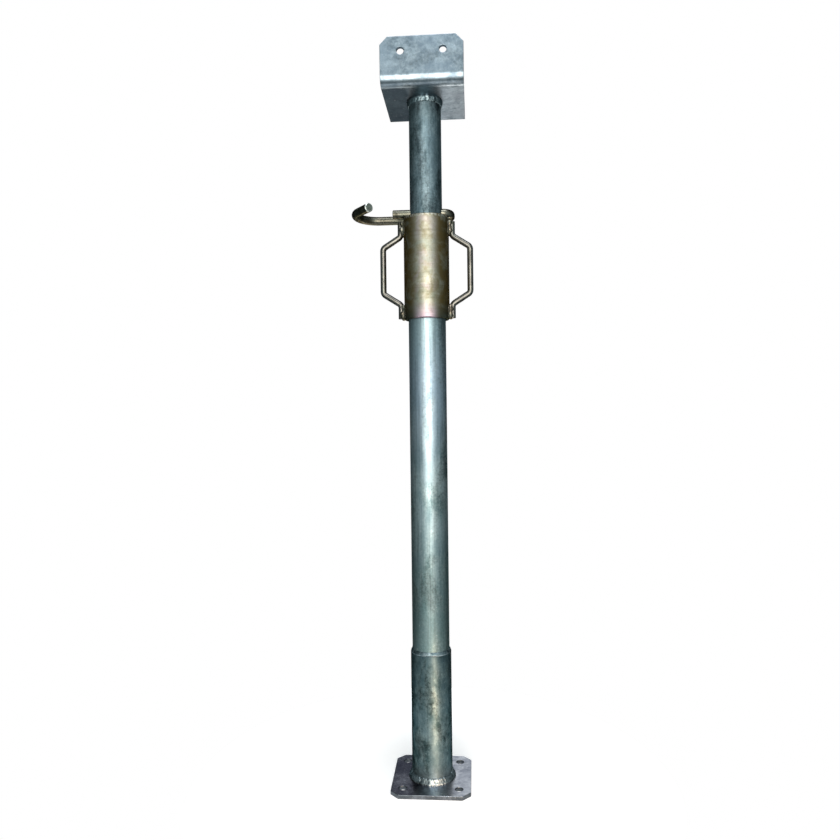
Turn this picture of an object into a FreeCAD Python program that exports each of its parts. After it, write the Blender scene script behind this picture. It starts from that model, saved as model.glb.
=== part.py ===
import FreeCAD, Part
import math
import os
import Sketcher
from types import SimpleNamespace

# Adjustable steel prop with a covered thread. Millimetres, +Z up, the origin on the tube axis at the
# base plate's underside. The head plate's upright flange stands on the -Y side. The locking pin lies
# along X and is pulled out towards +X. The prop is drawn at its shortest, with the nut wound down.

SIZES = (
    # Foot plate with cut corners and four bolt holes.
    ("base_width", 117.0),
    ("base_depth", 122.0),
    ("base_thickness", 6.0),
    ("base_corner", 12.0),
    ("base_hole", 12.0),
    ("base_hole_span_x", 82.0),
    ("base_hole_span_y", 82.0),
    # Short sleeve that the outer tube stands in.
    ("sleeve_wall", 2.35),
    ("sleeve_length", 189.0),
    ("sleeve_gap", 0.15),
    # Outer tube, with a rolled thread and a pressed-in guide lip at its top end.
    ("tube_od", 56.0),
    ("tube_wall", 2.3),
    ("tube_length", 837.0),
    ("thread_rise", 1.25),
    ("thread_length", 50.0),
    ("lip_depth", 5.0),
    ("guide_clearance", 0.3),
    # Inner tube with play inside the outer one, swaged out at its foot and drilled across for the pin.
    ("inner_play", 1.55),
    ("inner_wall", 2.9),
    ("inner_floor_gap", 133.3),
    ("swage_length", 15.0),
    ("pin_hole_clearance", 0.5),
    ("pin_hole_spacing", 100.0),
    ("pin_hole_count", 7.0),
    # Head: one plate folded upwards along its front.
    ("head_width", 119.0),
    ("head_thickness", 6.0),
    ("head_front", 64.0),
    ("head_rear", 68.5),
    ("head_rise", 67.7),
    ("head_bend", 9.0),
    ("head_corner", 11.0),
    ("head_hole", 10.5),
    ("head_hole_span", 60.6),
    ("head_hole_drop", 20.6),
    # Nut sleeve, threaded over its whole length, which reaches past both ends of its handles.
    ("nut_wall", 4.65),
    ("nut_above_handle", 6.25),
    ("nut_below_handle", 2.25),
    ("nut_cover", 3.0),
    ("nut_edge", 1.5),
    ("thread_clearance", 0.1),
    # Bent bar handles, reaching out from the nut's side. Heights are between corners or ends.
    ("handle_rod", 9.0),
    ("handle_reach", 31.4),
    ("handle_height", 144.0),
    ("handle_shoulder_height", 102.5),
    ("handle_grip_height", 68.5),
    ("handle_bend", 7.0),
    # Locking pin, bent flat from one round bar. Its reaches start at the inner tube's side.
    ("pin_rod", 13.0),
    ("pin_edge", 0.8),
    ("pin_seat_gap", 0.3),
    ("pin_to_head", 166.5),
    ("pin_tip_reach", 25.85),
    ("pin_apex_reach", 12.05),
    ("pin_return_gap", 3.35),
    ("pin_bend", 12.0),
    ("hook_radius", 33.0),
    ("hook_reach", 81.65),
    ("hook_turn_deg", 128.0),
    ("hook_tail", 31.0),
    # Weld beads.
    ("weld_gap", 0.05),
    ("base_weld_leg", 7.0),
    ("sleeve_weld_rise", 5.0),
    ("head_weld_leg", 5.0),
    ("handle_weld_spread", 6.0),
    ("handle_weld_root", 4.0),
    ("handle_weld_cap", 1.8),
)
SHEET_NAME = "Sizes"

AXIS_X = FreeCAD.Vector(1, 0, 0)
AXIS_Y = FreeCAD.Vector(0, 1, 0)
AXIS_Z = FreeCAD.Vector(0, 0, 1)
TOUCH = 0.001


class Linked:
    """A number with the expression that keeps it tied to the sheet."""

    def __init__(self, value, text):
        self.value = value
        self.text = text

    def __add__(self, other):
        other = linked(other)
        return Linked(self.value + other.value, f"({self.text} + {other.text})")

    def __sub__(self, other):
        other = linked(other)
        return Linked(self.value - other.value, f"({self.text} - {other.text})")

    def __mul__(self, factor):
        return Linked(self.value * factor, f"({self.text} * {factor})")

    def __truediv__(self, divisor):
        return Linked(self.value / divisor, f"({self.text} / {divisor})")

    def __neg__(self):
        return Linked(-self.value, f"(-1 * {self.text})")


def linked(number):
    """Give a plain number an expression of its own."""
    if isinstance(number, Linked):
        return number
    return Linked(number, repr(number))


def make_sheet(doc):
    """Write the driving sizes to the sheet and hand them back by name."""
    sheet = doc.addObject("Spreadsheet::Sheet", SHEET_NAME)
    for row, (alias, value) in enumerate(SIZES, start=1):
        sheet.set(f"A{row}", alias)
        sheet.set(f"B{row}", str(value))
        sheet.setAlias(f"B{row}", alias)
    doc.recompute()
    sizes = {alias: Linked(sheet.get(alias), f"{SHEET_NAME}.{alias}") for alias, _ in SIZES}
    return SimpleNamespace(**sizes)


doc = FreeCAD.newDocument("steel_prop")
size = make_sheet(doc)
ZERO = linked(0.0)

# Heights that several pieces share, worked out from the foot upwards.
base_top = size.base_thickness
sleeve_top = base_top + size.sleeve_length
tube_top = base_top + size.tube_length
nut_top = tube_top + size.nut_cover
handle_middle = nut_top - size.nut_above_handle - size.handle_height / 2
nut_low = handle_middle - size.handle_height / 2 - size.nut_below_handle
pin_height = nut_top + size.pin_seat_gap + size.pin_rod / 2
head_underside = pin_height + size.pin_to_head
inner_low = base_top + size.inner_floor_gap

# Radii that several pieces share.
tube_radius = size.tube_od / 2
tube_bore = tube_radius - size.tube_wall
inner_radius = tube_bore - size.inner_play
sleeve_bore = tube_radius + size.sleeve_gap
sleeve_radius = sleeve_bore + size.sleeve_wall
thread_radius = tube_radius + size.thread_rise
nut_bore = thread_radius + size.thread_clearance
nut_radius = nut_bore + size.nut_wall
bar_radius = size.handle_rod / 2
pin_radius = size.pin_rod / 2
leg_offset = nut_radius + bar_radius + size.weld_gap


def new_body(name):
    body = doc.addObject("PartDesign::Body", name)
    body.Label = name
    return body


def origin_feature(body, role):
    return next(item for item in body.Origin.OriginFeatures if item.Role == role)


def new_sketch(body, role, name, offset=ZERO):
    """A sketch on one of the body's own planes, moved along that plane's normal."""
    sketch = body.newObject("Sketcher::SketchObject", f"{body.Name}_{name}")
    sketch.AttachmentSupport = [(origin_feature(body, role), "")]
    sketch.MapMode = "FlatFace"
    sketch.setExpression("AttachmentOffset.Base.z", offset.text)
    return sketch


def drive(sketch, constraint, value, unit=""):
    """Add a dimension to the sketch and tie it to the sheet."""
    index = sketch.addConstraint(constraint)
    sketch.setExpression(f"Constraints[{index}]", value.text + unit)


def place_point(sketch, curve, end, x=None, y=None):
    """Dimension one end of a curve from the sketch's origin."""
    if x is not None:
        drive(sketch, Sketcher.Constraint("DistanceX", -1, 1, curve, end, x.value), x)
    if y is not None:
        drive(sketch, Sketcher.Constraint("DistanceY", -1, 1, curve, end, y.value), y)


def vector(x, y):
    return FreeCAD.Vector(x, y, 0)


def near(a, b):
    return abs(a - b.value) < TOUCH


def draw_outline(sketch, corners):
    """A closed run of straight lines through the corners."""
    points = [vector(x.value, y.value) for x, y in corners]
    ends = points[1:] + points[:1]
    lines = [sketch.addGeometry(Part.LineSegment(a, b)) for a, b in zip(points, ends)]
    for line, following in zip(lines, lines[1:] + lines[:1]):
        sketch.addConstraint(Sketcher.Constraint("Coincident", line, 2, following, 1))
    for line, (x, y) in zip(lines, corners):
        place_point(sketch, line, 1, x, y)


def draw_rectangle(sketch, width, depth):
    """A rectangle centred on the sketch's origin."""
    right = width / 2
    back = depth / 2
    draw_outline(sketch, ((-right, -back), (right, -back), (right, back), (-right, back)))


def draw_circle(sketch, radius, x=ZERO, y=ZERO):
    circle = Part.Circle(vector(x.value, y.value), AXIS_Z, radius.value)
    curve = sketch.addGeometry(circle)
    drive(sketch, Sketcher.Constraint("Radius", curve, radius.value), radius)
    place_point(sketch, curve, 3, x, y)


def pad(body, sketch, length, side="One side"):
    feature = body.newObject("PartDesign::Pad", f"{sketch.Name}_pad")
    feature.Profile = sketch
    feature.SideType = side
    feature.setExpression("Length", length.text)
    doc.recompute()
    return feature


def pocket(body, sketch, length=None, side="One side", reverse=False):
    """Cut a sketch into the body, right through unless a length is given."""
    before = body.Shape.Volume
    feature = body.newObject("PartDesign::Pocket", f"{sketch.Name}_pocket")
    feature.Profile = sketch
    feature.SideType = side
    feature.Reversed = reverse
    if length is None:
        feature.Type = "ThroughAll"
    else:
        feature.setExpression("Length", length.text)
    doc.recompute()
    if not body.Shape.Volume < before:
        raise RuntimeError(f"{feature.Name} cuts nothing")
    return feature


def revolve(body, corners):
    """Turn a profile of radius and height corners about the tube axis."""
    sketch = new_sketch(body, "XZ_Plane", "profile")
    draw_outline(sketch, corners)
    feature = body.newObject("PartDesign::Revolution", f"{body.Name}_turned")
    feature.Profile = sketch
    feature.ReferenceAxis = (sketch, ["V_Axis"])
    feature.Angle = 360.0
    doc.recompute()
    return feature


def edges_along(feature, direction, keep):
    """Names of the straight edges along a direction whose middle passes the test."""
    names = []
    for number, edge in enumerate(feature.Shape.Edges, start=1):
        if edge.Curve.TypeId != "Part::GeomLine":
            continue
        along = abs(edge.tangentAt(edge.FirstParameter).dot(direction)) > 0.999
        if along and keep(edge.CenterOfMass):
            names.append(f"Edge{number}")
    return names


def dress(body, kind, feature, names, prop, amount):
    """Chamfer or fillet the named edges of a feature."""
    dressing = body.newObject(f"PartDesign::{kind}", f"{feature.Name}_{kind.lower()}")
    dressing.Base = (feature, names)
    dressing.setExpression(prop, amount.text)
    doc.recompute()
    return dressing


def base_plate():
    body = new_body("base_plate")
    outline = new_sketch(body, "XY_Plane", "outline")
    draw_rectangle(outline, size.base_width, size.base_depth)
    plate = pad(body, outline, size.base_thickness)
    corners = edges_along(plate, AXIS_Z, lambda middle: True)
    dress(body, "Chamfer", plate, corners, "Size", size.base_corner)
    holes = new_sketch(body, "XY_Plane", "holes")
    for x in (-size.base_hole_span_x / 2, size.base_hole_span_x / 2):
        for y in (-size.base_hole_span_y / 2, size.base_hole_span_y / 2):
            draw_circle(holes, size.base_hole / 2, x, y)
    pocket(body, holes, reverse=True)


def foot_sleeve():
    body = new_body("foot_sleeve")
    ring = new_sketch(body, "XY_Plane", "ring", base_top)
    draw_circle(ring, sleeve_radius)
    draw_circle(ring, sleeve_bore)
    pad(body, ring, size.sleeve_length)


def outer_tube():
    thread_low = tube_top - size.thread_length
    lip = inner_radius + size.guide_clearance
    lip_low = tube_top - size.lip_depth
    revolve(new_body("outer_tube"), (
        (tube_bore, base_top),
        (tube_radius, base_top),
        (tube_radius, thread_low),
        (thread_radius, thread_low + size.thread_rise),
        (thread_radius, tube_top - size.thread_rise),
        (tube_radius, tube_top),
        (lip, tube_top),
        (lip, lip_low),
        (tube_bore, lip_low - (tube_bore - lip)),
    ))


def inner_tube():
    bore = inner_radius - size.inner_wall
    swage = tube_bore - size.guide_clearance
    swage_top = inner_low + size.swage_length
    neck = swage_top + (swage - inner_radius)
    body = new_body("inner_tube")
    revolve(body, (
        (swage - size.inner_wall, inner_low),
        (swage, inner_low),
        (swage, swage_top),
        (inner_radius, neck),
        (inner_radius, head_underside),
        (bore, head_underside),
        (bore, neck),
        (swage - size.inner_wall, swage_top),
    ))
    cross = new_sketch(body, "YZ_Plane", "cross_hole")
    draw_circle(cross, pin_radius + size.pin_hole_clearance, ZERO, pin_height)
    hole = pocket(body, cross, side="Symmetric")
    before = body.Shape.Volume
    row = body.newObject("PartDesign::LinearPattern", "inner_tube_hole_row")
    row.Originals = [hole]
    row.Direction = (origin_feature(body, "Z_Axis"), [""])
    row.Reversed = True
    row.Mode = "Spacing"
    row.setExpression("Offset", size.pin_hole_spacing.text)
    row.setExpression("Occurrences", size.pin_hole_count.text)
    body.Tip = row
    doc.recompute()
    if not body.Shape.Volume < before:
        raise RuntimeError("the row of pin holes cuts nothing")


def head_plate():
    front = -size.head_front
    top = head_underside + size.head_rise
    inner_face = front + size.head_thickness
    seat = head_underside + size.head_thickness
    body = new_body("head_plate")
    fold = new_sketch(body, "YZ_Plane", "fold")
    draw_outline(fold, (
        (front, head_underside),
        (size.head_rear, head_underside),
        (size.head_rear, seat),
        (inner_face, seat),
        (inner_face, top),
        (front, top),
    ))
    angle = pad(body, fold, size.head_width, side="Symmetric")
    heel = edges_along(angle, AXIS_X, lambda m: near(m.y, front) and near(m.z, head_underside))
    bent = dress(body, "Fillet", angle, heel, "Radius", size.head_bend + size.head_thickness)
    root = edges_along(bent, AXIS_X, lambda m: near(m.y, inner_face) and near(m.z, seat))
    bent = dress(body, "Fillet", bent, root, "Radius", size.head_bend)
    corners = edges_along(bent, AXIS_Y, lambda m: near(m.z, top))
    dress(body, "Chamfer", bent, corners, "Size", size.head_corner)
    holes = new_sketch(body, "XZ_Plane", "holes", size.head_front)
    for x in (-size.head_hole_span / 2, size.head_hole_span / 2):
        draw_circle(holes, size.head_hole / 2, x, top - size.head_hole_drop)
    pocket(body, holes, size.head_thickness)


def ring_welds():
    """Fillet beads round the tubes, each a triangle turned about the axis."""
    foot = sleeve_radius + size.weld_gap
    seam = tube_radius + size.weld_gap
    neck = inner_radius + size.weld_gap
    revolve(new_body("base_weld"), (
        (foot, base_top),
        (foot + size.base_weld_leg, base_top),
        (foot, base_top + size.base_weld_leg),
    ))
    revolve(new_body("sleeve_weld"), (
        (seam, sleeve_top),
        (sleeve_radius, sleeve_top),
        (seam, sleeve_top + size.sleeve_weld_rise),
    ))
    revolve(new_body("head_weld"), (
        (neck, head_underside),
        (neck, head_underside - size.head_weld_leg),
        (neck + size.head_weld_leg, head_underside),
    ))


def nut_sleeve():
    revolve(new_body("nut_sleeve"), (
        (nut_bore, nut_low),
        (nut_radius - size.nut_edge, nut_low),
        (nut_radius, nut_low + size.nut_edge),
        (nut_radius, nut_top - size.nut_edge),
        (nut_radius - size.nut_edge, nut_top),
        (nut_bore, nut_top),
    ))


def draw_bent_line(sketch, corners, bend):
    """An open line through the corners, each inner corner rounded to the bend radius."""
    points = [vector(x.value, y.value) for x, y in corners]
    headings = [(b - a).normalize() for a, b in zip(points, points[1:])]
    starts = [points[0]]
    ends = []
    arcs = []
    for corner, before, after in zip(points[1:-1], headings, headings[1:]):
        reach = bend.value * math.tan(before.getAngle(after) / 2)
        begin = corner - before * reach
        finish = corner + after * reach
        turn = math.copysign(1.0, before.x * after.y - before.y * after.x)
        centre = begin + vector(-before.y, before.x) * (turn * bend.value)
        ends.append(begin)
        starts.append(finish)
        arcs.append((centre, begin, finish, turn))
    ends.append(points[-1])
    lines = [sketch.addGeometry(Part.LineSegment(a, b)) for a, b in zip(starts, ends)]
    for number, (centre, begin, finish, turn) in enumerate(arcs):
        curve, first, last = draw_arc(sketch, centre, begin, finish, turn)
        sketch.addConstraint(Sketcher.Constraint("Tangent", lines[number], 2, curve, first))
        sketch.addConstraint(Sketcher.Constraint("Tangent", curve, last, lines[number + 1], 1))
        drive(sketch, Sketcher.Constraint("Radius", curve, bend.value), bend)
        mark = sketch.addGeometry(Part.Point(points[number + 1]), True)
        sketch.addConstraint(Sketcher.Constraint("PointOnObject", mark, 1, lines[number]))
        sketch.addConstraint(Sketcher.Constraint("PointOnObject", mark, 1, lines[number + 1]))
        place_point(sketch, mark, 1, *corners[number + 1])
    place_point(sketch, lines[0], 1, *corners[0])
    place_point(sketch, lines[-1], 2, *corners[-1])


def draw_arc(sketch, centre, begin, finish, turn):
    """An arc from begin to finish. Returns it with the numbers of its two ends in that order."""
    first, last = (begin, finish) if turn > 0 else (finish, begin)
    angles = [math.atan2(end.y - centre.y, end.x - centre.x) for end in (first, last)]
    circle = Part.Circle(centre, AXIS_Z, (begin - centre).Length)
    curve = sketch.addGeometry(Part.ArcOfCircle(circle, *angles))
    return (curve, 1, 2) if turn > 0 else (curve, 2, 1)


def sweep(body, section, path):
    """Carry a round section along a path, and check the bar's volume against its length."""
    feature = body.newObject("PartDesign::AdditivePipe", f"{body.Name}_bar")
    feature.Profile = section
    feature.Spine = (path, [])
    doc.recompute()
    area = Part.Face(section.Shape.Wires[0]).Area
    expected = area * path.Shape.Length
    if abs(feature.Shape.Volume - expected) > 0.001 * expected:
        raise RuntimeError(f"{body.Name} does not fill its path")
    return feature


def handle(name, side):
    """One bent bar: a leg on the nut at each end, two slanted runs and the upright grip."""
    leg = leg_offset * side
    grip = (nut_radius + size.handle_reach) * side
    half_heights = (size.handle_height / 2, size.handle_shoulder_height / 2, size.handle_grip_height / 2)
    ends_up, shoulder_up, grip_up = (handle_middle + half for half in half_heights)
    ends_low, shoulder_low, grip_low = (handle_middle - half for half in half_heights)
    body = new_body(name)
    path = new_sketch(body, "XZ_Plane", "path")
    corners = (
        (leg, ends_up),
        (leg, shoulder_up),
        (grip, grip_up),
        (grip, grip_low),
        (leg, shoulder_low),
        (leg, ends_low),
    )
    draw_bent_line(path, corners, size.handle_bend)
    section = new_sketch(body, "XY_Plane", "section", ends_up)
    draw_circle(section, bar_radius, leg)
    sweep(body, section, path)


def handle_weld(name, side, up):
    """A bead down both sides of a handle's leg and round its end."""
    leg = leg_offset * side
    root = (nut_radius - size.handle_weld_root) * side
    toe = bar_radius + size.handle_weld_spread
    shoulder = handle_middle + (size.handle_shoulder_height / 2) * up
    leg_end = handle_middle + (size.handle_height / 2) * up
    leg_run = (size.handle_height - size.handle_shoulder_height) / 2
    body = new_body(name)
    bead = new_sketch(body, "XY_Plane", "bead", shoulder)
    draw_outline(bead, ((root, -toe), (leg, -bar_radius), (leg, bar_radius), (root, toe)))
    block = pad(body, bead, leg_run + size.handle_weld_cap)
    block.Reversed = up < 0
    doc.recompute()
    nut_cut = new_sketch(body, "XY_Plane", "nut_cut", shoulder)
    draw_circle(nut_cut, nut_radius + size.weld_gap)
    pocket(body, nut_cut, reverse=up > 0)
    bar_cut = new_sketch(body, "XY_Plane", "bar_cut", leg_end)
    draw_circle(bar_cut, bar_radius + size.weld_gap, leg)
    pocket(body, bar_cut, reverse=up < 0)


def locking_pin():
    """One flat-bent bar: a run through the tube, a square return, a run behind it and a hook."""
    tip = -(inner_radius + size.pin_tip_reach)
    apex = inner_radius + size.pin_apex_reach
    back = inner_radius + size.pin_return_gap + pin_radius
    bend_x = apex - size.pin_bend
    hook_x = size.hook_radius - inner_radius - size.hook_reach
    hook_y = back - size.hook_radius
    body = new_body("locking_pin")
    path = new_sketch(body, "XY_Plane", "path", pin_height)

    heading = math.radians(size.hook_turn_deg.value - 180.0)
    hook_centre = vector(hook_x.value, hook_y.value)
    hook_out = vector(math.sin(heading), -math.cos(heading)) * size.hook_radius.value
    hook_end = hook_centre + hook_out
    tail_end = hook_end + vector(math.cos(heading), math.sin(heading)) * size.hook_tail.value
    near_bend = vector(bend_x.value, size.pin_bend.value)
    far_bend = vector(bend_x.value, (back - size.pin_bend).value)
    runs = (
        (vector(tip.value, 0), vector(bend_x.value, 0)),
        (vector(apex.value, near_bend.y), vector(apex.value, far_bend.y)),
        (vector(bend_x.value, back.value), vector(hook_x.value, back.value)),
        (hook_end, tail_end),
    )
    through, end_run, behind, tail = [path.addGeometry(Part.LineSegment(*run)) for run in runs]
    joints = (
        (through, near_bend, end_run, size.pin_bend),
        (end_run, far_bend, behind, size.pin_bend),
        (behind, hook_centre, tail, size.hook_radius),
    )
    bends = []
    for before, centre, after, radius in joints:
        begin = path.Geometry[before].EndPoint
        finish = path.Geometry[after].StartPoint
        curve, first, last = draw_arc(path, centre, begin, finish, 1)
        path.addConstraint(Sketcher.Constraint("Tangent", before, 2, curve, first))
        path.addConstraint(Sketcher.Constraint("Tangent", curve, last, after, 1))
        drive(path, Sketcher.Constraint("Radius", curve, radius.value), radius)
        bends.append(curve)
    path.addConstraint(Sketcher.Constraint("Horizontal", through))
    path.addConstraint(Sketcher.Constraint("Vertical", end_run))
    path.addConstraint(Sketcher.Constraint("Horizontal", behind))
    place_point(path, through, 1, tip, ZERO)
    place_point(path, end_run, 1, x=apex)
    place_point(path, behind, 1, y=back)
    place_point(path, bends[-1], 3, x=hook_x)
    turned = size.hook_turn_deg - 180
    drive(path, Sketcher.Constraint("Angle", tail, heading), turned, " * 1 deg")
    drive(path, Sketcher.Constraint("Distance", tail, size.hook_tail.value), size.hook_tail)

    section = new_sketch(body, "YZ_Plane", "section", tip)
    draw_circle(section, pin_radius, ZERO, pin_height)
    bar = sweep(body, section, path)
    rims = []
    for number, edge in enumerate(bar.Shape.Edges, start=1):
        middle = edge.CenterOfMass
        at_tip = near(middle.x, tip) and near(middle.y, ZERO)
        at_tail = (middle - vector(tail_end.x, tail_end.y) - AXIS_Z * pin_height.value).Length < TOUCH
        if at_tip or at_tail:
            rims.append(f"Edge{number}")
    dress(body, "Chamfer", bar, rims, "Size", size.pin_edge)


def check_and_write():
    """Stop if any object failed, then write each sub-part under its own name."""
    doc.recompute()
    failed = [item.Name for item in doc.Objects if "Invalid" in item.State or "Error" in item.State]
    if failed:
        raise RuntimeError(f"failed objects: {failed}")
    bodies = [item for item in doc.Objects if item.TypeId == "PartDesign::Body"]
    for body in bodies:
        if body.Shape.isNull() or not body.Shape.isValid() or not body.Shape.Solids:
            raise RuntimeError(f"{body.Label} has no valid solid")
    os.makedirs("parts", exist_ok=True)
    for body in bodies:
        body.Shape.exportStep(f"parts/{body.Label}.step")


base_plate()
foot_sleeve()
outer_tube()
inner_tube()
head_plate()
ring_welds()
nut_sleeve()
for side_name, side in (("left", -1), ("right", 1)):
    handle(f"handle_{side_name}", side)
    for end_name, up in (("upper", 1), ("lower", -1)):
        handle_weld(f"handle_weld_{side_name}_{end_name}", side, up)
locking_pin()
check_and_write()
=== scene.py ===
"""Looks of the adjustable steel prop: galvanised tubes and plates, a yellow-plated nut and a dark pin."""

import math
import random

import bmesh
import bpy
from mathutils import Matrix, Vector, noise


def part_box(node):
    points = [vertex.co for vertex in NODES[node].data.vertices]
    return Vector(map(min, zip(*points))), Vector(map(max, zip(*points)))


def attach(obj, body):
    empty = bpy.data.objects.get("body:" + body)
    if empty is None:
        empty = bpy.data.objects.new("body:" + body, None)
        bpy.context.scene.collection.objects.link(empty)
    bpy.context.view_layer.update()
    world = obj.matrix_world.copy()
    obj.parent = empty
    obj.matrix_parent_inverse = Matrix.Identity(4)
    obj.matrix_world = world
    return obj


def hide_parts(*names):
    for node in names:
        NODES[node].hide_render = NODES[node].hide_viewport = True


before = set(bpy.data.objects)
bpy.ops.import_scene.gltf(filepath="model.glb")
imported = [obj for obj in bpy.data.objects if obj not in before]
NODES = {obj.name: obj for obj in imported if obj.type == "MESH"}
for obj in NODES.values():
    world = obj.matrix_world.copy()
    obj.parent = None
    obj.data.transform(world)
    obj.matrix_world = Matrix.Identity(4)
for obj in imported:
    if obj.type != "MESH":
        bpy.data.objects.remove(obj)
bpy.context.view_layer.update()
MM = 0.001
UP = Vector((0.0, 0.0, 1.0))


# Camera, at the photograph's viewing angle. Lens and sensor are in millimetres, angles in radians.

CAMERA_AT = Vector((68.0, -1082.5, 555.7)) * MM
CAMERA_TURN = 0.07442
CAMERA_TILT = -0.01145
CAMERA_ROLL = -0.01185
CAMERA_LENS = 30.853
CAMERA_SENSOR = 36.0
CAMERA_NEAR = 10.0 * MM


def make_camera():
    data = bpy.data.cameras.new("photo_camera")
    data.lens = CAMERA_LENS
    data.sensor_width = CAMERA_SENSOR
    data.clip_start = CAMERA_NEAR
    camera = bpy.data.objects.new("photo_camera", data)
    bpy.context.scene.collection.objects.link(camera)
    turn = Matrix.Rotation(CAMERA_TURN, 4, "Z")
    tilt = Matrix.Rotation(math.pi / 2 + CAMERA_TILT, 4, "X")
    roll = Matrix.Rotation(CAMERA_ROLL, 4, "Z")
    camera.matrix_world = Matrix.Translation(CAMERA_AT) @ turn @ tilt @ roll
    bpy.context.scene.camera = camera


# Materials. Patterns lie on Object coordinates, in metres, so a pattern of n mm has a scale of 1000 / n.

# Real zinc frost, scratches and turning marks are finer than a pixel, so they are drawn coarser.
FROST_MM = 3.5
SCRATCH_MM = 2.4
TURNING_MM = 3.0
# A mark's width as a share of its length.
MARK_SLIMNESS = 0.03
# Heights where a finish changes, how painted light and shade fade out above a plate's underside, and the
# pin's cut tail.
NUT_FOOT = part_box("nut_sleeve")[0].z
NUT_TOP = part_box("nut_sleeve")[1].z
HEAD_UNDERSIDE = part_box("head_plate")[0].z
BASE_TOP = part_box("base_plate")[1].z
FADE_BEGIN = 0.1 * MM
FADE_END = 0.9 * MM
PIN_RADIUS = 6.5 * MM
PIN_TAIL = Vector((-79.7, -43.7, 852.8)) * MM


def linear(colour):
    """An sRGB hex colour as linear RGBA."""
    shares = [int(colour[i:i + 2], 16) / 255.0 for i in (1, 3, 5)]
    return [s / 12.92 if s <= 0.04045 else ((s + 0.055) / 1.055) ** 2.4 for s in shares] + [1.0]


def add(tree, kind, inputs, **settings):
    """Add a node, set it up, and link or fill its inputs by name or number."""
    made = tree.nodes.new(kind)
    for name, value in settings.items():
        setattr(made, name, value)
    for key, value in inputs.items():
        if isinstance(value, bpy.types.NodeSocket):
            tree.links.new(value, made.inputs[key])
        else:
            made.inputs[key].default_value = value
    return made


def new_material(name):
    material = bpy.data.materials.new(name)
    material.use_nodes = True
    tree = material.node_tree
    tree.nodes.clear()
    place = add(tree, "ShaderNodeTexCoord", {}).outputs["Object"]
    return material, tree, place


def close_metal(tree, layers, roughness, height, bump_mm, edge):
    """Lay colours over each other by their shares, and join them to a metal surface.

    The first layer is the ground. edge is the metal's colour seen at a low angle.
    """
    colour = layers[0]
    for share, tone in layers[1:]:
        colour = add(tree, "ShaderNodeMix", {0: share, 6: colour, 7: tone}, data_type="RGBA").outputs[2]
    relief = add(tree, "ShaderNodeBump", {"Height": height, "Strength": 1.0, "Distance": bump_mm * MM})
    surface = add(tree, "ShaderNodeBsdfPrincipled", {
        "Base Color": colour, "Metallic": 1.0, "Roughness": roughness, "Specular Tint": linear(edge),
        "Normal": relief.outputs["Normal"],
    })
    add(tree, "ShaderNodeOutputMaterial", {"Surface": surface.outputs["BSDF"]})


def zinc(name, shades, edge, cloud_mm, drawn, grain, roughness, bump_mm, stains_and_painted_light=()):
    """Hot-dip zinc: cloudy grey with a faint frost of crystals, some of them given painted glints, and fine
    scratches from handling.

    shades are its dark, light and tinted colours. edge is its colour at a low angle, which its smudges, pits
    and scratches have too, and grain is how much each of those three darkens it. drawn is how far its clouds
    stretch lengthwise.
    """
    dark, light, tint = (linear(shade) for shade in shades)
    smudges, pitted, scratched = grain
    material, tree, place = new_material(name)
    along = add(tree, "ShaderNodeMapping", {
        "Vector": place, "Scale": (1.0, 1.0, 1.0 / drawn),
    }).outputs["Vector"]
    clouds = add(tree, "ShaderNodeTexNoise", {
        "Vector": along, "Scale": 1000.0 / cloud_mm, "Detail": 6.0, "Roughness": 0.66,
    }).outputs[0]
    shaded = add(tree, "ShaderNodeMapRange", {"Value": clouds, "From Min": 0.38, "From Max": 0.62}).outputs[0]
    drift = add(tree, "ShaderNodeTexNoise", {
        "Vector": along, "Scale": 1000.0 / (cloud_mm * 2.7), "Detail": 3.0, "Distortion": 0.6,
    }).outputs[0]
    tinted = add(tree, "ShaderNodeMapRange", {
        "Value": drift, "From Min": 0.42, "From Max": 0.6, "To Max": 0.5,
    }).outputs[0]
    smudged = add(tree, "ShaderNodeMapRange", {
        "Value": drift, "From Min": 0.5, "From Max": 0.34, "To Max": smudges,
    }).outputs[0]
    lengthwise = add(tree, "ShaderNodeMapping", {
        "Vector": place, "Scale": (1.0, 1.0, MARK_SLIMNESS),
    }).outputs["Vector"]
    drawing = add(tree, "ShaderNodeTexNoise", {
        "Vector": lengthwise, "Scale": 1000.0 / SCRATCH_MM, "Detail": 2.0,
    }).outputs[0]
    scratch = add(tree, "ShaderNodeMapRange", {
        "Value": drawing, "From Min": 0.5, "From Max": 0.7, "To Max": scratched,
    }).outputs[0]
    frost = add(tree, "ShaderNodeTexNoise", {
        "Vector": place, "Scale": 1000.0 / FROST_MM, "Detail": 3.0, "Roughness": 0.7,
    }).outputs[0]
    gathered = add(tree, "ShaderNodeMapRange", {
        "Value": drift, "From Min": 0.56, "From Max": 0.38, "To Min": 0.3 * pitted, "To Max": pitted,
    }).outputs[0]
    dull = add(tree, "ShaderNodeMapRange", {
        "Value": frost, "From Min": 0.54, "From Max": 0.34, "To Max": gathered,
    }).outputs[0]
    # Painted glints: bright specks on the frost crystals, paler than the lightest zinc.
    bright = add(tree, "ShaderNodeMapRange", {
        "Value": frost, "From Min": 0.62, "From Max": 0.8, "To Max": 0.4,
    }).outputs[0]
    layers = [dark, (shaded, light), (tinted, tint)]
    for lay in stains_and_painted_light:
        layers.append(lay(tree, place, drift))
    painted_glint = [min(1.0, 2.2 * share) for share in light]
    layers += [(smudged, linear(edge)), (scratch, linear(edge)), (dull, linear(edge)), (bright, painted_glint)]
    low, high = roughness
    rough = add(tree, "ShaderNodeMapRange", {
        "Value": clouds, "From Min": 0.3, "From Max": 0.7, "To Min": high, "To Max": low,
    }).outputs[0]
    close_metal(tree, layers, rough, frost, bump_mm, edge)
    return material


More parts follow.
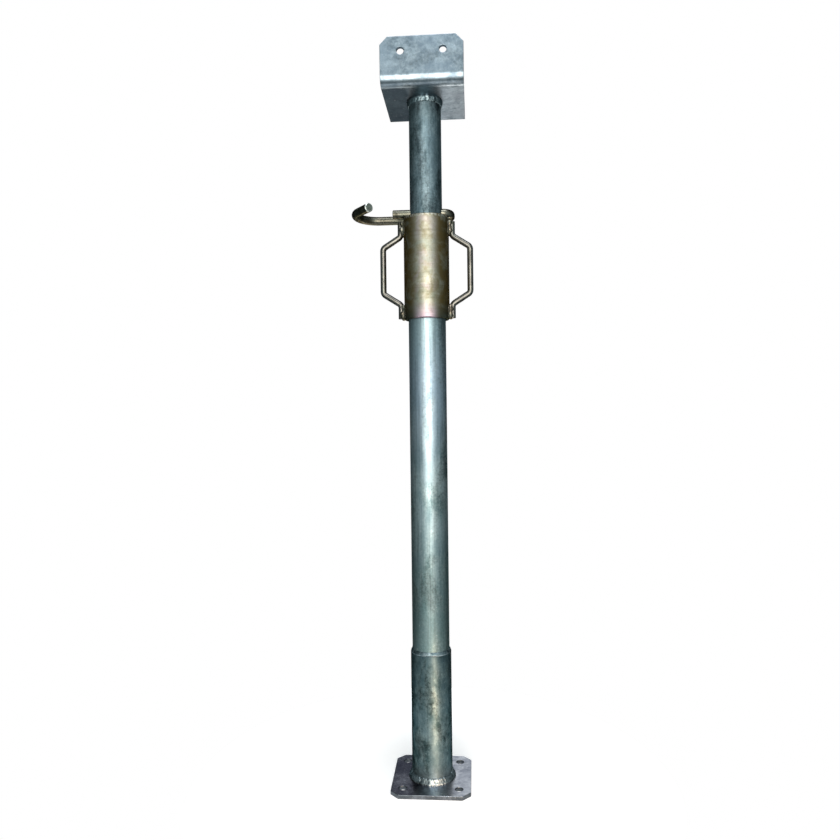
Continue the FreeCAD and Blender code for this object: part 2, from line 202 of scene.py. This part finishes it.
def stain_and_painted_light(colour, axis, begin, full, share, below=None):
    """A band of darker or paler colour that sets in along an axis, from begin to full in metres, with a
    ragged edge: a plain tone on some pieces, painted light and shade on others.

    Where below is given, it lies only on the face at that height, such as a plate's underside.
    """
    def lay(tree, place, drift):
        compass = add(tree, "ShaderNodeSeparateXYZ", {"Vector": place}).outputs
        ragged = add(tree, "ShaderNodeMath", {0: drift, 1: (full - begin), 2: (begin - full) * 0.5},
                     operation="MULTIPLY_ADD").outputs[0]
        across = add(tree, "ShaderNodeMath", {0: compass[axis], 1: ragged}, operation="ADD").outputs[0]
        mask = add(tree, "ShaderNodeMapRange", {
            "Value": across, "From Min": begin, "From Max": full, "To Max": share,
        }).outputs[0]
        if below:
            under = add(tree, "ShaderNodeMapRange", {
                "Value": compass["Z"], "From Min": below + FADE_END, "From Max": below + FADE_BEGIN,
            }).outputs[0]
            mask = add(tree, "ShaderNodeMath", {0: mask, 1: under}, operation="MULTIPLY").outputs[0]
        return mask, linear(colour)
    return lay


def cut_edge(colour, height):
    """Darker zinc on a plate's sheared edges, below the height of its upper face, with painted shade on the
    rounding at their top.
    """
    def lay(tree, place, drift):
        compass = add(tree, "ShaderNodeSeparateXYZ", {"Vector": place}).outputs
        # Painted shade: the darkening starts just under the upper face, so it covers the rounded top of the
        # edges too.
        mask = add(tree, "ShaderNodeMapRange", {
            "Value": compass["Z"], "From Min": height - 0.02 * MM, "From Max": height - 0.25 * MM,
        }).outputs[0]
        return mask, linear(colour)
    return lay


def chromate(name, shades, edge, cloud_mm, pitted, roughness, bump_mm, wear_and_painted_light=None):
    """Yellow chromate on zinc: a bronze film that drifts to pink and green, duller where it is thick.

    shades are its dark, light, pink and green colours, and edge is its colour at a low angle. pitted is how
    much its pits darken it, and wear adds the layers that only one piece has.
    """
    dark, light, pink, green = (linear(shade) for shade in shades)
    material, tree, place = new_material(name)
    clouds = add(tree, "ShaderNodeTexNoise", {
        "Vector": place, "Scale": 1000.0 / cloud_mm, "Detail": 4.0, "Roughness": 0.64, "Distortion": 0.3,
    }).outputs[0]
    shaded = add(tree, "ShaderNodeMapRange", {"Value": clouds, "From Min": 0.38, "From Max": 0.62}).outputs[0]
    film = add(tree, "ShaderNodeTexNoise", {
        "Vector": place, "Scale": 1000.0 / (cloud_mm * 1.7), "Detail": 3.0, "Distortion": 0.8,
    })
    bands = add(tree, "ShaderNodeSeparateColor", {"Color": film.outputs[1]}).outputs
    layers = [dark, (shaded, light)]
    for band, tone in (("Red", pink), ("Green", green)):
        share = add(tree, "ShaderNodeMapRange", {
            "Value": bands[band], "From Min": 0.5, "From Max": 0.66, "To Max": 0.6,
        }).outputs[0]
        layers.append((share, tone))
    grit = add(tree, "ShaderNodeTexNoise", {
        "Vector": place, "Scale": 1000.0 / FROST_MM, "Detail": 3.0, "Roughness": 0.7,
    }).outputs[0]
    pits = add(tree, "ShaderNodeMapRange", {
        "Value": grit, "From Min": 0.5, "From Max": 0.3, "To Max": pitted,
    }).outputs[0]
    layers.append((pits, dark))
    if wear_and_painted_light:
        layers += wear_and_painted_light(tree, place, film.outputs[0], grit)
    low, high = roughness
    rough = add(tree, "ShaderNodeMapRange", {
        "Value": clouds, "From Min": 0.3, "From Max": 0.7, "To Min": high, "To Max": low,
    }).outputs[0]
    close_metal(tree, layers, rough, grit, bump_mm, edge)
    return material


def nut_wear_and_painted_light(tree, place, film, grit):
    """The nut's film, with brown and teal painted shade on both sides, rosy low in the middle, turned in
    rings, and pale scuffs with painted glints at the top rim.
    """
    compass = add(tree, "ShaderNodeSeparateXYZ", {"Vector": place}).outputs
    sideways = add(tree, "ShaderNodeMath", {0: compass["X"]}, operation="ABSOLUTE").outputs[0]
    # Painted shade on both sides, left and right: brown where the film is thick, and dark teal near the foot.
    flank = add(tree, "ShaderNodeMapRange", {
        "Value": sideways, "From Min": 10.0 * MM, "From Max": 23.0 * MM,
    }, interpolation_type="SMOOTHSTEP").outputs[0]
    thick = add(tree, "ShaderNodeMapRange", {
        "Value": film, "From Min": 0.36, "From Max": 0.52, "To Min": 0.35, "To Max": 0.9,
    }).outputs[0]
    brown = add(tree, "ShaderNodeMath", {0: flank, 1: thick}, operation="MULTIPLY").outputs[0]
    foot = add(tree, "ShaderNodeMapRange", {
        "Value": compass["Z"], "From Min": NUT_FOOT + 24.0 * MM, "From Max": NUT_FOOT, "To Max": 0.8,
    }).outputs[0]
    front = add(tree, "ShaderNodeMath", {0: 1.0, 1: flank}, operation="SUBTRACT").outputs[0]
    rosy = add(tree, "ShaderNodeMath", {0: foot, 1: front}, operation="MULTIPLY").outputs[0]
    teal = add(tree, "ShaderNodeMath", {0: foot, 1: flank}, operation="MULTIPLY").outputs[0]
    around = add(tree, "ShaderNodeMapping", {
        "Vector": place, "Scale": (MARK_SLIMNESS, MARK_SLIMNESS, 1.0),
    }).outputs["Vector"]
    turning = add(tree, "ShaderNodeTexNoise", {
        "Vector": around, "Scale": 1000.0 / TURNING_MM, "Detail": 2.0,
    }).outputs[0]
    rings = add(tree, "ShaderNodeMapRange", {
        "Value": turning, "From Min": 0.5, "From Max": 0.7, "To Max": 0.22,
    }).outputs[0]
    # Pale specks at the top rim: scuffs, and painted glints on its edge.
    rim = add(tree, "ShaderNodeMapRange", {
        "Value": compass["Z"], "From Min": NUT_TOP - 5.0 * MM, "From Max": NUT_TOP - 2.0 * MM,
    }).outputs[0]
    rim_specks = add(tree, "ShaderNodeMapRange", {"Value": grit, "From Min": 0.46, "From Max": 0.58}).outputs[0]
    rim_wear_and_glints = add(tree, "ShaderNodeMath", {0: rim, 1: rim_specks}, operation="MULTIPLY").outputs[0]
    return [
        (brown, linear("#6e5b31")),
        (rosy, linear("#b69cae")),
        (teal, linear("#4d5650")),
        (rings, linear("#5d5645")),
        (rim_wear_and_glints, linear("#cccbc0")),
    ]


def cut_tail(tree, place, film, grit):
    """Pale cut steel on the end face of the pin's hooked tail, partly painted light, with a painted highlight
    round its rim.
    """
    reach = add(tree, "ShaderNodeVectorMath", {0: place, 1: PIN_TAIL}, operation="DISTANCE").outputs["Value"]
    # Pale end face, partly painted light: only this end of the pin gets it.
    face = add(tree, "ShaderNodeMapRange", {
        "Value": reach, "From Min": PIN_RADIUS + 0.5 * MM, "From Max": PIN_RADIUS + 0.2 * MM,
    }).outputs[0]
    scarred = add(tree, "ShaderNodeMapRange", {
        "Value": grit, "From Min": 0.4, "From Max": 0.55, "To Min": 0.35, "To Max": 1.0,
    }).outputs[0]
    bare_and_lit_face = add(tree, "ShaderNodeMath", {0: face, 1: scarred}, operation="MULTIPLY").outputs[0]
    # Painted highlight: a bright ring round the tail's end face.
    rim = add(tree, "ShaderNodeMapRange", {
        "Value": reach, "From Min": PIN_RADIUS * 0.7, "From Max": PIN_RADIUS * 0.9,
    }).outputs[0]
    rim_highlight = add(tree, "ShaderNodeMath", {0: face, 1: rim}, operation="MULTIPLY").outputs[0]
    return [(bare_and_lit_face, linear("#a2a599")), (rim_highlight, linear("#dfe2dc"))]


# New pieces. Sizes are in millimetres, and a weld's places are measured out from the tubes' axis.

PLATE_EDGE = 0.7
MERGE_GAP = 0.001
SHARP_ANGLE = math.radians(30.0)
FLAT_ANGLE = math.radians(1.0)

# A weld's skin, and how far its drops flow together.
SKIN_GRAIN = 0.4
FLOW_FACTOR = 0.5
RING_PASSES = 75
LEG_PASSES = 30

# The shoulder at the sleeve's top, and how wide and high its waves are.
SHOULDER_STEPS = 264
WAVE_WIDTH = 9.0
WAVE_HEIGHT = 0.15

# A run round a tube: how far its ripples bow, and how uneven its drops are in size and spacing.
RIPPLE_BOW = 0.22
DROP_SWELL = (0.88, 1.1)
DROP_STRAY = 0.25

# A run on a handle's leg: a thick row on the leg's flank, which swings in and out, and a thin one at its toe,
# on the nut. A stray is how far a drop may miss its place, or its radius.
LEG_RIPPLES = 11
LEG_MARGIN = 3.0
FLANK_OUT = 35.0
FLANK_ACROSS = 5.0
FLANK_DROP = 3.2
FLANK_SWING = 0.6
SWING_STEP = 0.9
FLANK_OUT_STRAY = 0.25
FLANK_ACROSS_STRAY = 0.3
FLANK_DROP_STRAY = 0.35
TOE_OUT = 33.2
TOE_ANGLE = 0.24
TOE_DROP = 2.0
TOE_ANGLE_STRAY = 0.02
TOE_DROP_STRAY = 0.4
# The lumps near the leg's end, and the cap over its cut face, which narrows and falls away outwards.
LEG_LUMPS = 2
LUMP_OUT = 36.2
LUMP_OUT_STRAY = 1.0
LUMP_ACROSS = (3.6, 5.4)
LUMP_REACH = 14.0
LUMP_DROP = (3.2, 3.8)
CAP_OUT = (35.4, 37.0, 38.6, 40.0)
CAP_ACROSS = (-3.2, 0.0, 3.2)
CAP_DROP = (2.4, 2.8)
CAP_STRAY = 0.2
CAP_TAPER = 0.08
CAP_FALL = 0.35


def new_piece(name, shape, material, body, node):
    """Make a mesh object from a bmesh, which rides on a body and stands for a node."""
    mesh = bpy.data.meshes.new(name)
    shape.to_mesh(mesh)
    shape.free()
    mesh.shade_smooth()
    mesh.materials.append(material)
    piece = bpy.data.objects.new(name, mesh)
    bpy.context.scene.collection.objects.link(piece)
    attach(piece, body)
    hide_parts(node)
    return piece


def softened_plate(node, material, body):
    """A plate with its cut edges and hole rims rounded by galvanising."""
    shape = bmesh.new()
    shape.from_mesh(NODES[node].data)
    bmesh.ops.remove_doubles(shape, verts=shape.verts[:], dist=MERGE_GAP * MM)
    bmesh.ops.dissolve_limit(shape, angle_limit=FLAT_ANGLE, verts=shape.verts[:], edges=shape.edges[:])
    sharp = [edge for edge in shape.edges if edge.calc_face_angle(0.0) > SHARP_ANGLE]
    bmesh.ops.bevel(shape, geom=sharp, offset=PLATE_EDGE * MM, affect="EDGES", segments=3, profile=0.5,
                    material=-1)
    piece = new_piece(f"{node}_soft", shape, material, body, node)
    piece.modifiers.new("flat_faces", "WEIGHTED_NORMAL").keep_sharp = True


def flow_together(piece, passes):
    """Join a piece's overlapping drops into one skin, and let it flow in some passes."""
    skin = piece.modifiers.new("one_skin", "REMESH")
    skin.mode = "VOXEL"
    skin.voxel_size = SKIN_GRAIN * MM
    skin.use_smooth_shade = True
    flow = piece.modifiers.new("flowed", "SMOOTH")
    flow.factor = FLOW_FACTOR
    flow.iterations = passes


def shoulder_bead(node, material, body, profile):
    """A weld dressed smooth round a tube: a shoulder spun about the tube's axis, a little uneven.

    profile is its outline, as distances out from the axis and heights.
    """
    shape = bmesh.new()
    corners = [shape.verts.new((out * MM, 0.0, height * MM)) for out, height in profile]
    for first, second in zip(corners, corners[1:] + corners[:1]):
        shape.edges.new((first, second))
    bmesh.ops.spin(shape, geom=shape.verts[:] + shape.edges[:], axis=UP, cent=(0.0, 0.0, 0.0),
                   angle=math.tau, steps=SHOULDER_STEPS, use_merge=True)
    bmesh.ops.recalc_face_normals(shape, faces=shape.faces[:])
    shape.normal_update()
    rises = [WAVE_HEIGHT * MM * noise.noise(vert.co / (WAVE_WIDTH * MM)) for vert in shape.verts]
    for vert, rise in zip(shape.verts, rises):
        vert.co += vert.normal * rise
    new_piece(f"{node}_run", shape, material, body, node)


def ring_bead(node, material, body, ripples, rows):
    """A weld run round a tube: drops that fill the corner in bowed ripples, each laid over the one before.

    rows are the drops of one ripple, as a distance out from the axis, a height and a radius.
    """
    dice = random.Random(node)
    pitch = math.tau / ripples
    shape = bmesh.new()
    for ripple in range(ripples):
        swell = dice.uniform(*DROP_SWELL)
        turn = pitch * (ripple + dice.uniform(-DROP_STRAY, DROP_STRAY))
        for row, (out, height, radius) in enumerate(rows):
            lag = RIPPLE_BOW * pitch * (row - (len(rows) - 1) / 2) ** 2
            middle = Matrix.Rotation(turn - lag, 4, UP) @ (Vector((out, 0.0, height)) * MM)
            bmesh.ops.create_icosphere(shape, subdivisions=2, radius=radius * swell * MM,
                                       matrix=Matrix.Translation(middle))
    piece = new_piece(f"{node}_run", shape, material, body, node)
    flow_together(piece, RING_PASSES)


def leg_bead(node, material):
    """A weld run down both sides of a handle's leg, in close ripples with a few lumps, and over its end."""
    low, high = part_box(node)
    side = 1.0 if low.x > 0.0 else -1.0
    upward = 1.0 if node.endswith("upper") else -1.0
    bottom = low.z / MM + LEG_MARGIN
    top = high.z / MM - LEG_MARGIN
    end = top if upward > 0.0 else bottom
    dice = random.Random(node)

    def stray(most):
        return dice.uniform(-most, most)

    drops = []
    for flank in (-1.0, 1.0):
        for step in range(LEG_RIPPLES):
            height = bottom + (top - bottom) * step / (LEG_RIPPLES - 1)
            swing = FLANK_SWING * math.sin(SWING_STEP * step + flank)
            out = FLANK_OUT + swing + stray(FLANK_OUT_STRAY)
            across = flank * (FLANK_ACROSS + stray(FLANK_ACROSS_STRAY))
            drops.append((out, across, height, FLANK_DROP + stray(FLANK_DROP_STRAY)))
            lean = flank * (TOE_ANGLE + stray(TOE_ANGLE_STRAY))
            radius = TOE_DROP + stray(TOE_DROP_STRAY)
            drops.append((TOE_OUT * math.cos(lean), TOE_OUT * math.sin(lean), height, radius))
        for _ in range(LEG_LUMPS):
            out = LUMP_OUT + stray(LUMP_OUT_STRAY)
            across = flank * dice.uniform(*LUMP_ACROSS)
            height = end - upward * dice.uniform(0.0, LUMP_REACH)
            drops.append((out, across, height, dice.uniform(*LUMP_DROP)))
    for place in CAP_ACROSS:
        for out in CAP_OUT:
            past = out - CAP_OUT[0]
            across = place * (1.0 - CAP_TAPER * past) + stray(CAP_STRAY)
            height = end - upward * CAP_FALL * past + stray(CAP_STRAY)
            drops.append((out, across, height, dice.uniform(*CAP_DROP)))
    shape = bmesh.new()
    for out, across, height, radius in drops:
        middle = Vector((side * out, across, height)) * MM
        bmesh.ops.create_icosphere(shape, subdivisions=3, radius=radius * MM,
                                   matrix=Matrix.Translation(middle))
    piece = new_piece(f"{node}_run", shape, material, "nut", node)
    flow_together(piece, LEG_PASSES)


# Studio, in metres.

FLOOR_RADIUS = 0.36
FLOOR_DROP = 0.2 * MM
FLOOR_SIDES = 96
# The floor's own glow, dimmer near the prop, where its shadow falls.
SHADOW_GLOW = 0.56
SHADOW_BEGIN = 0.08
SHADOW_END = 0.9 * FLOOR_RADIUS
# The room, by the heading from the prop: a white backdrop, wider above and below, and walls that darken
# from front to back, a little less to the right, and straight below.
WHITE = "#ffffff"
BACKDROP_EDGE = (0.84, 0.94)
BACKDROP_WIDENING = 0.4
WALL_FRONT = "#a3b4b7"
WALL_BACK = "#3a494b"
WALL_DEPTH = (-0.8, 0.2)
WALL_SKEW = -0.25
PIT_DEPTH = (-0.5, -0.9)


def make_lamp(name, at, target, width, height, watts, colour):
    data = bpy.data.lights.new(name, "AREA")
    data.shape = "RECTANGLE"
    data.size = width
    data.size_y = height
    data.energy = watts
    data.color = linear(colour)[:3]
    lamp = bpy.data.objects.new(name, data)
    bpy.context.scene.collection.objects.link(lamp)
    lamp.location = at
    lamp.visible_camera = False
    lamp.rotation_mode = "QUATERNION"
    lamp.rotation_quaternion = (Vector(target) - lamp.location).to_track_quat("-Z", "Y")
    return data


def make_world():
    """A white backdrop behind the object, to the eye and in reflections, in a dimmer room."""
    world = bpy.data.worlds.new("studio")
    world.use_nodes = True
    bpy.context.scene.world = world
    tree = world.node_tree
    tree.nodes.clear()
    path = add(tree, "ShaderNodeLightPath", {}).outputs
    heading = add(tree, "ShaderNodeTexCoord", {}).outputs["Generated"]
    compass = add(tree, "ShaderNodeSeparateXYZ", {"Vector": heading}).outputs
    slope = add(tree, "ShaderNodeMath", {0: compass["Z"]}, operation="ABSOLUTE").outputs[0]
    spread = add(tree, "ShaderNodeMath", {0: slope, 1: BACKDROP_WIDENING, 2: compass["Y"]},
                 operation="MULTIPLY_ADD").outputs[0]
    backdrop = add(tree, "ShaderNodeMapRange", {
        "Value": spread, "From Min": BACKDROP_EDGE[0], "From Max": BACKDROP_EDGE[1],
    }, interpolation_type="SMOOTHSTEP").outputs[0]
    rightward = add(tree, "ShaderNodeMath", {0: compass["X"], 1: 0.0}, operation="MAXIMUM").outputs[0]
    behind = add(tree, "ShaderNodeMath", {0: rightward, 1: WALL_SKEW, 2: compass["Y"]},
                 operation="MULTIPLY_ADD").outputs[0]
    depth = add(tree, "ShaderNodeMapRange", {
        "Value": behind, "From Min": WALL_DEPTH[0], "From Max": WALL_DEPTH[1],
    }).outputs[0]
    below = add(tree, "ShaderNodeMapRange", {
        "Value": compass["Z"], "From Min": PIT_DEPTH[0], "From Max": PIT_DEPTH[1],
    }).outputs[0]
    dim = add(tree, "ShaderNodeMath", {0: depth, 1: below}, operation="MAXIMUM").outputs[0]
    room = add(tree, "ShaderNodeMix", {0: dim, 6: linear(WALL_FRONT), 7: linear(WALL_BACK)},
               data_type="RGBA").outputs[2]
    mirrored = add(tree, "ShaderNodeMath", {0: path["Is Glossy Ray"], 1: path["Is Transmission Ray"]},
                   operation="MAXIMUM").outputs[0]
    shown = add(tree, "ShaderNodeMath", {0: mirrored, 1: backdrop, 2: path["Is Camera Ray"]},
                operation="MULTIPLY_ADD", use_clamp=True).outputs[0]
    colour = add(tree, "ShaderNodeMix", {0: shown, 6: room, 7: linear(WHITE)}, data_type="RGBA").outputs[2]
    glow = add(tree, "ShaderNodeBackground", {"Color": colour, "Strength": 1.0})
    add(tree, "ShaderNodeOutputWorld", {"Surface": glow.outputs["Background"]})


def make_floor():
    """A round pale floor under the prop, white to the eye away from the prop's shadow."""
    shape = bmesh.new()
    bmesh.ops.create_circle(shape, cap_ends=True, segments=FLOOR_SIDES, radius=FLOOR_RADIUS,
                            matrix=Matrix.Translation((0.0, 0.0, -FLOOR_DROP)))
    mesh = bpy.data.meshes.new("floor")
    shape.to_mesh(mesh)
    shape.free()
    floor = bpy.data.objects.new("floor", mesh)
    bpy.context.scene.collection.objects.link(floor)
    material, tree, place = new_material("pale_matt_floor")
    path = add(tree, "ShaderNodeLightPath", {}).outputs
    mirrored = add(tree, "ShaderNodeMath", {0: path["Is Glossy Ray"], 1: path["Is Transmission Ray"]},
                   operation="MAXIMUM").outputs[0]
    seen = add(tree, "ShaderNodeMath", {0: mirrored, 1: path["Is Camera Ray"]},
               operation="MAXIMUM").outputs[0]
    distance = add(tree, "ShaderNodeVectorMath", {0: place}, operation="LENGTH").outputs["Value"]
    glow = add(tree, "ShaderNodeMapRange", {
        "Value": distance, "From Min": SHADOW_BEGIN, "From Max": SHADOW_END,
        "To Min": SHADOW_GLOW, "To Max": 1.0,
    }, interpolation_type="SMOOTHSTEP").outputs[0]
    strength = add(tree, "ShaderNodeMath", {0: seen, 1: glow}, operation="MULTIPLY").outputs[0]
    white = add(tree, "ShaderNodeEmission", {"Color": linear(WHITE), "Strength": strength})
    matt = add(tree, "ShaderNodeBsdfDiffuse", {"Color": linear("#d0d0d0")})
    both = add(tree, "ShaderNodeAddShader", {0: white.outputs[0], 1: matt.outputs[0]})
    add(tree, "ShaderNodeOutputMaterial", {"Surface": both.outputs[0]})
    mesh.materials.append(material)


make_camera()
make_world()
make_floor()
make_lamp("key_softbox", at=(0.10, -1.45, 0.66), target=(0.0, 0.0, 0.6), width=1.0, height=1.2,
          watts=20.5, colour="#fff9f0")
make_lamp("top_softbox", at=(0.15, -0.75, 2.5), target=(0.0, 0.0, 0.4), width=1.4, height=1.4,
          watts=30.0, colour="#f4f8ff")
# Behind and lower than the floor's rim, so it lights the tubes' backs and leaves the foot plate alone.
make_lamp("rear_softbox", at=(0.0, 1.25, -0.3), target=(0.0, 0.0, 0.55), width=1.6, height=0.4,
          watts=9.0, colour="#fff6ea")
# A small warm card close to the foot.
low_card = make_lamp("low_card", at=(0.114, -0.30, 0.035), target=(0.0, 0.0, 0.04), width=0.06, height=0.06,
                     watts=0.21, colour="#ffd2b0")
low_card.spread = math.radians(78.0)
bpy.context.scene.view_settings.view_transform = "Standard"

# Steel tube dipped in zinc: a pale blue-grey sheen with long soft clouds, dull and greenish towards the foot.
tube_zinc = zinc(
    "galvanised_tube", shades=("#94abad", "#d2dfe0", "#aebdcc"), edge="#1e2628", cloud_mm=15.0, drawn=2.6,
    grain=(0.42, 0.5, 0.3), roughness=(0.44, 0.49), bump_mm=0.02,
    stains_and_painted_light=(
        stain_and_painted_light("#b3c5d8", "Z", begin=0.50, full=0.585, share=0.5),
        stain_and_painted_light("#9db4b5", "Z", begin=0.61, full=0.68, share=0.6),
        stain_and_painted_light("#5d7975", "Z", begin=0.50, full=0.24, share=0.7),
    ),
)
# Zinc rubbed by sliding in and out: a darker, flatter grey than the outer tube.
inner_zinc = zinc(
    "dull_galvanised_tube", shades=("#5b6e74", "#9db0b7", "#728790"), edge="#171d1f", cloud_mm=12.0,
    drawn=2.4, grain=(0.42, 0.55, 0.25), roughness=(0.46, 0.52), bump_mm=0.04,
)
# Zinc gone dark near the ground: a deep grey-green with cloudy patches, a few painted glints and a paler
# foot.
sleeve_zinc = zinc(
    "weathered_galvanised_sleeve", shades=("#3f5457", "#6e8183", "#526870"), edge="#0f1415", cloud_mm=11.0,
    drawn=1.8, grain=(0.5, 0.7, 0.2), roughness=(0.42, 0.47), bump_mm=0.04,
    stains_and_painted_light=(stain_and_painted_light("#7f9096", "Z", begin=0.032, full=0.013, share=0.7),),
)
# Dipped plate: large soft crystals in pale and mid grey, shinier than the tubes, with painted light and shade
# below.
head_zinc = zinc(
    "mottled_galvanised_head", shades=("#6e7d87", "#b3c1ca", "#8898a5"), edge="#5f686d", cloud_mm=15.0,
    drawn=1.0, grain=(0.2, 0.5, 0.1), roughness=(0.31, 0.40), bump_mm=0.03,
    stains_and_painted_light=(
        # Painted light: a faint paler wash over the whole underside.
        stain_and_painted_light("#dfe6ea", "X", begin=-0.3, full=-0.2, share=0.14, below=HEAD_UNDERSIDE),
        stain_and_painted_light("#7d7473", "X", begin=-0.01, full=0.14, share=0.6, below=HEAD_UNDERSIDE),
        # Painted shade: the left of the underside darkened.
        stain_and_painted_light("#30373c", "X", begin=-0.008, full=-0.026, share=0.85, below=HEAD_UNDERSIDE),
    ),
)
# The same on the foot plate: painted shade on its left half, and darker sheared edges with painted shade on
# their top.
base_zinc = zinc(
    "mottled_galvanised_base", shades=("#8d939f", "#d0d6dd", "#adb3be"), edge="#a3a8b1", cloud_mm=11.0,
    drawn=1.0, grain=(0.15, 0.3, 0.1), roughness=(0.26, 0.38), bump_mm=0.05,
    stains_and_painted_light=(
        # Painted shade: the plate's left half darkened.
        stain_and_painted_light("#2b2a33", "X", begin=0.004, full=-0.022, share=0.94),
        # Darker zinc down the sheared edges, and painted shade on the rounding along their top.
        cut_edge("#53595d", BASE_TOP),
    ),
)
# Weld metal under the zinc: lumpy, with dark hollows, and a painted highlight on its front.
weld_zinc = zinc(
    "galvanised_weld", shades=("#44535a", "#8b9a9f", "#66767d"), edge="#1b2224", cloud_mm=7.0, drawn=1.0,
    grain=(0.4, 0.5, 0.1), roughness=(0.40, 0.50), bump_mm=0.03,
    # Painted highlight: paler zinc over the front of the weld.
    stains_and_painted_light=(stain_and_painted_light("#b4c1c6", "Y", begin=-0.024, full=-0.040, share=0.4),),
)
# The same without the painted front highlight, as dull as the tubes that it runs into.
dull_weld_zinc = zinc(
    "dull_galvanised_weld", shades=("#566970", "#b0c0c5", "#7f939a"), edge="#171d1f", cloud_mm=6.0, drawn=1.0,
    grain=(0.4, 0.4, 0.1), roughness=(0.36, 0.46), bump_mm=0.04,
)
# Turned steel, zinc-plated and passivated yellow: a thin bronze film that shifts to pink and green.
nut_plating = chromate(
    "yellow_chromated_nut", shades=("#878069", "#b0ad9f", "#a99d9e", "#8f968b"), edge="#2b2821",
    cloud_mm=13.0, pitted=0.5, roughness=(0.43, 0.48), bump_mm=0.04, wear_and_painted_light=nut_wear_and_painted_light,
)
# The same film on drawn bar: paler and smoother, with long clean glints.
bar_plating = chromate(
    "pale_chromated_bar", shades=("#5f5d58", "#7e7b74", "#75716d", "#70736d"), edge="#171613", cloud_mm=12.0,
    pitted=0.1, roughness=(0.28, 0.34), bump_mm=0.0,
)
# The same film on weld metal: dull and patchy, with small glints on the ripples.
bead_plating = chromate(
    "plated_weld_bead", shades=("#57513f", "#8f8b7f", "#74665c", "#666958"), edge="#2a2823", cloud_mm=9.0,
    pitted=0.2, roughness=(0.34, 0.42), bump_mm=0.0,
)
# A thick olive film on hot-bent bar: dark and a little greasy, pale at the tail's cut end face, partly as
# painted light, with a painted highlight round it.
pin_plating = chromate(
    "dark_olive_pin", shades=("#44423a", "#868376", "#6d675b", "#606357"), edge="#14130d", cloud_mm=12.0,
    pitted=0.3, roughness=(0.30, 0.38), bump_mm=0.015, wear_and_painted_light=cut_tail,
)

FINISHES = {
    "foot_sleeve": sleeve_zinc,
    "outer_tube": tube_zinc,
    "inner_tube": inner_zinc,
    "nut_sleeve": nut_plating,
    "handle_left": bar_plating,
    "handle_right": bar_plating,
    "locking_pin": pin_plating,
}
for node, finish in FINISHES.items():
    NODES[node].material_slots[0].material = finish

softened_plate("base_plate", base_zinc, "outer")
softened_plate("head_plate", head_zinc, "inner")
ring_bead("base_weld", weld_zinc, "outer", ripples=56,
          rows=((30.4, 13.4, 2.3), (30.9, 10.9, 2.7), (31.7, 8.6, 3.0), (32.8, 6.8, 2.9)))
shoulder_bead("sleeve_weld", dull_weld_zinc, "outer",
              profile=((27.9, 200.4), (28.5, 199.8), (29.3, 198.4), (30.0, 196.8), (30.5, 195.0),
                       (27.9, 195.0)))
ring_bead("head_weld", dull_weld_zinc, "inner", ripples=46,
          rows=((24.2, 1012.4, 2.0), (24.4, 1014.6, 2.2), (24.6, 1016.7, 2.5), (24.9, 1018.5, 2.5)))
for side in ("left", "right"):
    for end in ("upper", "lower"):
        leg_bead(f"handle_weld_{side}_{end}", bead_plating)
